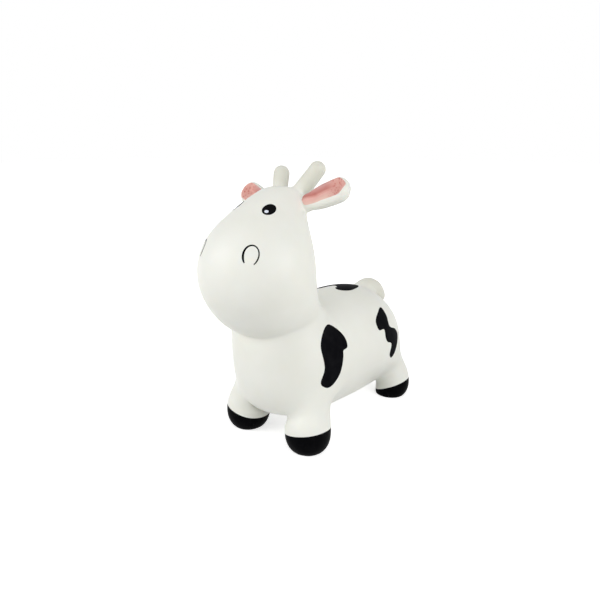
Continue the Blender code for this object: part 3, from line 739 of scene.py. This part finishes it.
def ear_surface(place, side, lift, ear_length):
    """surface(turn, share) of one ear: a broad tube whose front face is folded in."""
    columns = 2 * ear_rim_columns + ear_face_columns
    whole = ear_sink + ear_length

    def front_depth(s, t, half, thick, span):
        """How far the front face stands out: a round rim with a fold pressed in between."""
        depth = thick * rounded(s, ear_front_roundness)
        fold = lift + side * fold_place * span
        reach = (lift + span - fold) if s > fold else (fold - lift + span)
        v = min(abs(s - fold) / reach, 1.0)
        if v >= 1.0:
            return depth
        begun = ease((t - fold_start) / fold_start_run)
        unfinished = ease((fold_stop - t) / fold_stop_run)
        deep = fold_depth * begun * unfinished * min(half / (ear_width * fold_full_share), 1.0)
        return depth - deep * (fold_lip - sqrt(v * v + fold_softness))

    def surface(k, share):
        height = share * whole - ear_sink
        t = height / ear_length
        half = ear_half_width(t)
        thinning = 1.0 - ear_root_thinning * (1.0 - ease(t / ear_full_thickness_at))
        thick = ear_thickness / 2 * thinning
        past = max(t - ear_thin_tip_at, 0.0) / (1.0 - ear_thin_tip_at)
        thick *= rounded(past, ear_back_roundness)
        if k > columns:
            s = -cos(pi * (k - columns) / columns)
            return place @ Vector((half * s, -thick * rounded(s, ear_back_roundness), height))
        span = max(lining_reach(t), lining_least)
        if k <= ear_rim_columns:
            s = 1.0 - (1.0 - span - lift) * (k / ear_rim_columns) ** ear_rim_bias
        elif k >= columns - ear_rim_columns:
            s = -1.0 + (1.0 - span + lift) * ((columns - k) / ear_rim_columns) ** ear_rim_bias
        else:
            s = lift + span * (1 - 2 * (k - ear_rim_columns) / ear_face_columns)
        return place @ Vector((half * s, front_depth(s, t, half, thick, span), height))

    return surface, 2 * columns


def build_ear(side_name, side):
    number = 0 if side > 0 else 1
    ear_length = ear_lengths[number]
    rise, back = radians(ear_raises[number]), radians(ear_sweep)
    outward = Vector((side * cos(rise) * cos(back), cos(rise) * sin(back), sin(rise)))
    seat, _ = on_skin(head_place(ear_seat_shares[number]), outward)
    front = Vector((0.0, -cos(radians(ear_tilt)), sin(radians(ear_tilt))))
    place = facing(seat + outward * ear_root_length, outward, front)
    lift = side * 2 * lining_lift_shares[number]
    surface, around = ear_surface(place, side, lift, ear_length)
    rows = rooted(surface, around, ear_rows, ear_fillet, ear_fillet_rows)
    name = "ear_" + side_name
    bm = net(rows, ear_darker_tone)
    # the pink face: where it lies, and how far each vertex is above the fold and along the ear
    inverse = place.inverted()
    above = bm.verts.layers.float.new("above_fold")
    along = bm.verts.layers.float.new("along_ear")
    for vert in bm.verts:
        local = inverse @ vert.co
        t = local.z / ear_length
        half = ear_half_width(t)
        fold = (side * lift + fold_place * lining_reach(t)) * half
        vert[above] = (side * local.x - fold) / (ear_width / 2)
        vert[along] = t
    for face in bm.faces:
        centre = inverse @ face.calc_center_median()
        t = centre.z / ear_length
        half = ear_half_width(t)
        s = centre.x / max(half, weld) - lift
        leans_out = (place.to_3x3().transposed() @ face.normal).y > lining_least_slope
        pink = abs(s) < lining_reach(t) and centre.y > -ear_thickness / 4 and leans_out
        face.material_index = 1 if pink else 0
    whole_mesh = mesh_of(bm, name)
    whole_mesh.shade_smooth()
    for index, material, slot_name, piece_name, nodes in (
        (0, vinyl, "white_vinyl", "ear_%s_skin" % side_name, (name, "ear_root_" + side_name)),
        (1, pink_paint, "pink_paint", "ear_%s_face" % side_name, ("ear_lining_" + side_name,)),
    ):
        part = bmesh.new()
        part.from_mesh(whole_mesh)
        whole_normals = {vert: tuple(vert.normal) for vert in part.verts}
        others = [face for face in part.faces if face.material_index != index]
        bmesh.ops.delete(part, geom=others, context="FACES")
        for face in part.faces:
            face.material_index = 0
        normals = [whole_normals[vert] for vert in part.verts]
        mesh = mesh_of(part, piece_name)
        piece = add_piece(piece_name, mesh, material, slot_name)
        mesh.normals_split_custom_set_from_vertices(normals)
        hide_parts(*nodes)
        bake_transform(piece)


def build_tail():
    """A short thick tail that rises, turns over and falls."""
    top, _ = on_skin(torso_place(tail_seat_share), upright)
    turn_total = radians(tail_rise + tail_fall)
    path, headings = [top - upright * tail_width * tail_sink_share], []
    for i in range(tail_steps + 1):
        turned = min(max(i / tail_steps - tail_straight, 0.0), 1.0)
        heading = radians(tail_rise) - turn_total * turned
        step = tail_length * tail_path_share / tail_steps
        headings.append(heading)
        path.append(path[-1] + Vector((0.0, cos(heading), sin(heading))) * step)

    def surface(k, share):
        i = min(int(share * tail_steps), tail_steps)
        j = min(i + 1, tail_steps)
        u = share * tail_steps - i
        centre = path[i].lerp(path[j], u)
        heading = headings[i] + (headings[j] - headings[i]) * u
        up = Vector((0.0, -sin(heading), cos(heading)))
        bulge = tail_bulge * sin(pi * min(share / 0.5, 1.0))
        taper = tail_taper * max(share - tail_taper_from, 0.0) / (1.0 - tail_taper_from)
        radius = tail_width / 2 * tail_thickness_share * (1.0 + bulge - taper)
        past = max(share - tail_tip_from, 0.0) / (1.0 - tail_tip_from)
        radius *= rounded(past, tail_tip_roundness)
        turn = 2 * pi * k / tail_around
        return centre + Vector((radius * cos(turn), 0.0, 0.0)) + up * radius * sin(turn)

    rows = rooted(surface, tail_around, tail_rows, tail_fillet, tail_fillet_rows)
    tail = add_piece("tail_skin", mesh_of(net(rows, tail_darker_tone), "tail"), vinyl, "white_vinyl")
    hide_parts("tail")
    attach(tail, "body")


# ---- sprayed colours

def closed_curve(points):
    """Points along a smooth closed curve through the given ones."""
    curve = []
    count = len(points)
    for i in range(count):
        p0, p1, p2, p3 = (Vector(points[(i + k) % count]) for k in (-1, 0, 1, 2))
        l01, l12, l23 = (max((b - a).length, weld) for a, b in ((p0, p1), (p1, p2), (p2, p3)))
        pull1 = ((p1 - p0) / l01 + (p2 - p1) / l12) / 2 * l12
        pull2 = ((p2 - p1) / l12 + (p3 - p2) / l23) / 2 * l12
        for j in range(outline_steps):
            curve.append(curve_point(p1, pull1, p2, pull2, j / outline_steps))
    return curve


def sides_of(outline):
    return zip(outline, outline[1:] + outline[:1])


def inside_outline(point, outline):
    inside = False
    for a, b in sides_of(outline):
        if (a.y > point.y) != (b.y > point.y):
            if point.x < (b.x - a.x) * (point.y - a.y) / (b.y - a.y) + a.x:
                inside = not inside
    return inside


def edge_distance(point, outline):
    best = 1.0
    for a, b in sides_of(outline):
        near, share = geometry.intersect_point_line(point, a, b)
        near = a if share < 0 else b if share > 1 else near
        best = min(best, (Vector((near[0], near[1])) - point).length)
    return best


def filled_outline(outline, grid):
    """Flat points and faces that fill an outline, about a grid step apart."""
    low_x, high_x = min(p.x for p in outline), max(p.x for p in outline)
    low_y, high_y = min(p.y for p in outline), max(p.y for p in outline)
    points, margin = list(outline), grid * grid_margin
    for i in range(int((high_x - low_x) / grid) + 1):
        for j in range(int((high_y - low_y) / grid) + 1):
            point = Vector((low_x + (i + 0.5 * (j % 2)) * grid, low_y + j * grid))
            if inside_outline(point, outline) and edge_distance(point, outline) > margin:
                points.append(point)
    count = len(outline)
    edges = [(i, (i + 1) % count) for i in range(count)]
    flat, _, faces, _, _, _ = geometry.delaunay_2d_cdt(points, edges, [], 1, 1e-9)
    return flat, faces


def sprayed(name, outline, place, material, slot_name, grid, lift=paint_lift):
    """An outline laid on the skin along the frame's Z, its border turned down into the skin."""
    flat, faces = filled_outline(outline, grid)
    ahead = place.to_3x3() @ upright
    bm = bmesh.new()
    verts = []
    for point in flat:
        start = place @ Vector((point.x, point.y, 0.0))
        hit, normal, _, _ = skin_tree.ray_cast(start + ahead * spray_reach, -ahead)
        if hit is None:
            hit, normal = nearest_skin(start)
        verts.append(bm.verts.new(hit + normal * lift))
    for face in faces:
        bm.faces.new([verts[i] for i in face])
    bmesh.ops.recalc_face_normals(bm, faces=bm.faces)
    bm.normal_update()
    if sum(face.normal.dot(ahead) for face in bm.faces) < 0:
        bmesh.ops.reverse_faces(bm, faces=bm.faces)
    rim = [edge for edge in bm.edges if edge.is_boundary]
    grown = bmesh.ops.extrude_edge_only(bm, edges=rim)["geom"]
    for vert in [item for item in grown if isinstance(item, bmesh.types.BMVert)]:
        near, normal = nearest_skin(vert.co)
        vert.co = near - normal * edge_sink
    piece = add_piece(name + "_paint", mesh_of(bm, name + "_paint"), material, slot_name)
    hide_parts(name)
    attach(piece, "body")


def ellipse(width, height, count):
    turns = [2 * pi * i / count for i in range(count)]
    return [Vector((width / 2 * cos(turn), height / 2 * sin(turn))) for turn in turns]


def horseshoe(side):
    """The outline of a nostril's line, open at the bottom."""
    gap = radians(nostril_opening) / 2
    outer, inner = [], []
    for i in range(nostril_steps + 1):
        t = gap + (2 * pi - 2 * gap) * i / nostril_steps
        from_end = min(i, nostril_steps - i) / nostril_steps
        line = nostril_line * (1.0 - nostril_unevenness * side * sin(t - nostril_slant * side))
        line *= min(nostril_end_share + nostril_end_growth * from_end, 1.0)
        for row, inset in ((outer, 0.0), (inner, line)):
            across, up = nostril_width / 2 - inset, nostril_height / 2 - inset
            row.append(Vector((across * sin(t), -up * cos(t))))
    return outer + inner[::-1]


def build_face():
    eyes, noses = head_place(eye_core_share), head_place(nostril_core_share)

    def face_place(core, side, turn, rise, tilt):
        """A frame on the face, turned from straight ahead to the side and upward."""
        turn, rise = radians(turn), radians(rise)
        look = Vector((side * sin(turn) * cos(rise), -cos(turn) * cos(rise), sin(rise)))
        return facing(*on_skin(core, look)) @ Matrix.Rotation(side * radians(tilt), 4, "Z")

    for number, (side_name, side) in enumerate((("left", 1), ("right", -1))):
        place = face_place(eyes, side, eye_turns[number], eye_rise, eye_tilt)
        outline = ellipse(eye_width, eye_height, eye_steps)
        sprayed("eye_" + side_name, outline, place, eye_black, "black_paint", small_grid)
        across, up = glint_shares
        spot = place @ Matrix.Translation((-side * eye_width * across, eye_height * up, 0.0))
        outline = ellipse(glint_width, glint_width, glint_steps)
        sprayed("eye_glint_" + side_name, outline, spot, glint, "glint_paint", small_grid,
                2 * paint_lift)
        place = face_place(noses, side, nostril_turns[number], nostril_rises[number], nostril_tilt)
        outline = horseshoe(side)
        sprayed("nostril_" + side_name, outline, place, eye_black, "black_paint", small_grid)


def build_patches():
    def patch(name, shares, size, place, side=1):
        width, height = size
        outline = closed_curve([(side * x * width, y * height) for x, y in shares])
        sprayed(name, outline, place, patch_black, "black_paint", patch_grid, patch_lift)

    for name, size, centre, near, far in (
        ("shoulder_patch_", shoulder_patch, shoulder_patch_share,
         shoulder_outline_shares, far_shoulder_outline_shares),
        ("rump_patch_", rump_patch, rump_patch_share,
         rump_outline_shares, far_rump_outline_shares),
    ):
        for side_name, side, shares in (("left", 1, near), ("right", -1, far)):
            outward = Vector((side, 0.0, 0.0))
            place = facing(torso_place(centre) + outward * torso_width / 2, outward)
            patch(name + side_name, shares, size, place, side)
    place = facing(torso_place(back_patch_share), upright, -forward)
    patch("back_patch", back_outline_shares, back_patch, place)


# ---- legs and hooves

def rim_of(mesh):
    """The points along a mesh's open edges."""
    bm = bmesh.new()
    bm.from_mesh(mesh)
    rim = {vert for edge in bm.edges if edge.is_boundary for vert in edge.verts}
    points = [vert.co.copy() for vert in rim]
    bm.free()
    return points


def leg_blend(rim, hoof_rim, side, end):
    """The steepest straight change from the leg's upper edge to its lower one, on the hoof."""
    def on_hoof(point):
        return any((point - other).length < weld for other in hoof_rim)

    upper, lower = [p for p in rim if not on_hoof(p)], [p for p in rim if on_hoof(p)]
    best = None
    for tip in map(radians, blend_tips):
        for turn in map(radians, blend_turns):
            n = Vector((side * sin(tip) * cos(turn), end * sin(tip) * sin(turn), -cos(tip)))
            a, b = max(n.dot(p) for p in upper), min(n.dot(p) for p in lower)
            if best is None or b - a > best[0]:
                best = (b - a, n, a, b)
    _, n, a, b = best
    foot = stand + Vector((side * foot_spread / 2, end * foot_reach / 2, 0.0))
    half, middle = max(b - a, least_blend) / 2, (a + b) / 2
    return foot + n * (middle - half - n.dot(foot)), foot + n * (middle + half - n.dot(foot))


def build_legs():
    for end_name, end in (("front", -1), ("rear", 1)):
        for side_name, side in (("left", 1), ("right", -1)):
            corner = end_name + "_" + side_name

            def corner_mesh(name, region):
                def wanted(index, centre):
                    across, along = (centre.x - stand.x) * side, (centre.y - stand.y) * end
                    return index == region and across > 0 and along > 0
                return skin_region(name + corner, wanted)

            hoof_mesh = corner_mesh("hoof_", hoof_region)
            hoof = add_piece("hoof_%s_skin" % corner, hoof_mesh, hoof_black, "black_paint")
            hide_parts("hoof_" + corner)
            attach(hoof, "hoof_" + corner)
            leg_mesh = corner_mesh("leg_", leg_region)
            start, finish = leg_blend(rim_of(leg_mesh), rim_of(hoof_mesh), side, end)
            leg = add_piece("leg_%s_skin" % corner, leg_mesh, vinyl, "white_vinyl")
            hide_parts("leg_" + corner)
            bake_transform(leg)
            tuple(start)
            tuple(finish)


# ---- stage

def seen_directly(tree):
    """1 for a ray that shows the background: from the camera, or by a mirror or glass."""
    path = tree.nodes.new("ShaderNodeLightPath")
    total = path.outputs["Is Camera Ray"]
    for name in ("Is Glossy Ray", "Is Transmission Ray"):
        most = tree.nodes.new("ShaderNodeMath")
        most.operation = "MAXIMUM"
        tree.links.new(total, most.inputs[0])
        tree.links.new(path.outputs[name], most.inputs[1])
        total = most.outputs[0]
    return total


def build_floor():
    """A pale floor, lifted to white where it is seen directly: only the shadow stays on it."""
    bpy.ops.mesh.primitive_plane_add(size=floor_width, location=(0.0, 0.0, 0.0))
    floor = bpy.context.object
    floor.name = "floor"
    low, high = floor_tones
    finish = Finish("floor", (low, low, low), floor_roughness)
    finish.set("Specular IOR Level", 0.0)
    finish.colour(finish.ramp(finish.noise(3.0), (
        (0.3, (low, low, low)), (0.7, (high, high, high)))))
    lift = finish.add("ShaderNodeEmission")
    distance = finish.add("ShaderNodeVectorMath", operation="LENGTH")
    finish.join(finish.place, distance.inputs[0])
    strength = finish.spread(distance.outputs["Value"], *floor_lift, *floor_lift_span)
    finish.join(strength, lift.inputs["Strength"])
    dark = finish.add("ShaderNodeEmission")
    dark.inputs["Strength"].default_value = 0.0
    pick = finish.add("ShaderNodeMixShader")
    total = finish.add("ShaderNodeAddShader")
    finish.join(seen_directly(finish.tree), pick.inputs["Fac"])
    finish.join(dark.outputs[0], pick.inputs[1])
    finish.join(lift.outputs[0], pick.inputs[2])
    finish.join(finish.shader.outputs[0], total.inputs[0])
    finish.join(pick.outputs[0], total.inputs[1])
    finish.join(total.outputs[0], finish.tree.nodes["Material Output"].inputs["Surface"])
    floor.data.materials.append(finish.material)


def build_world():
    """An even light all round, and a white background behind everything."""
    world = bpy.data.worlds.new("studio")
    bpy.context.scene.world = world
    world.use_nodes = True
    tree = world.node_tree
    light, seen = tree.nodes["Background"], tree.nodes.new("ShaderNodeBackground")
    for node, strength in ((light, world_strength), (seen, 1.0)):
        node.inputs["Color"].default_value = (1.0, 1.0, 1.0, 1.0)
        node.inputs["Strength"].default_value = strength
    mix = tree.nodes.new("ShaderNodeMixShader")
    tree.links.new(seen_directly(tree), mix.inputs["Fac"])
    tree.links.new(light.outputs["Background"], mix.inputs[1])
    tree.links.new(seen.outputs["Background"], mix.inputs[2])
    tree.links.new(mix.outputs["Shader"], tree.nodes["World Output"].inputs["Surface"])


def build_lamps():
    for name, place, power in lamps:
        lamp = bpy.data.lights.new(name, "AREA")
        lamp.shape = "DISK"
        lamp.size = lamp_width
        lamp.energy = power
        holder = add_object(name, lamp)
        holder.location = place
        aim = lamp_target - Vector(place)
        holder.rotation_euler = aim.to_track_quat("-Z", "Y").to_euler()


def build_camera():
    eye = bpy.data.cameras.new("camera")
    eye.lens = camera_lens
    eye.sensor_width = camera_sensor
    eye.clip_end = camera_far
    camera = add_object("camera", eye)
    camera.location = camera_place + stand
    camera.rotation_euler = (radians(camera_pitch), 0.0, radians(camera_turn))
    bpy.context.scene.camera = camera
    bpy.context.scene.view_settings.view_transform = "Standard"


vinyl = vinyl_finish()
hoof_black = black_finish("hoof_black", wear=0.16, sheen=0.008, tone=0.0032)
# the patches' tone is raised above the hooves' as a painted sheen
patch_black = black_finish("patch_black", wear=0.06, sheen=0.002, tone=0.0062)
eye_black = black_finish("eye_black", wear=0.04, sheen=0.02, tone=0.0034)
pink_paint = pink_finish()
glint = glint_finish()
plug = plug_finish()

skin = build_skin()
skin_normals = [vertex.normal.copy() for vertex in skin.vertices]
skin_tree = BVHTree.FromPolygons(
    [vertex.co for vertex in skin.vertices], [face.vertices for face in skin.polygons])

body_mesh = skin_region("body", lambda index, centre: index == torso_region, open_valve)
body = add_piece("body_skin", body_mesh, vinyl, "white_vinyl")
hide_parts("torso", "head")
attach(body, "body")
build_legs()
build_tail()
for side_name, side in (("left", 1), ("right", -1)):
    build_horn(side_name, side)
    build_ear(side_name, side)
build_face()
build_patches()
for node, material in (("valve_seat", vinyl), ("air_plug", plug)):
    frame["nodes"][node].material_slots[0].material = material
build_floor()
build_world()
build_lamps()
build_camera()
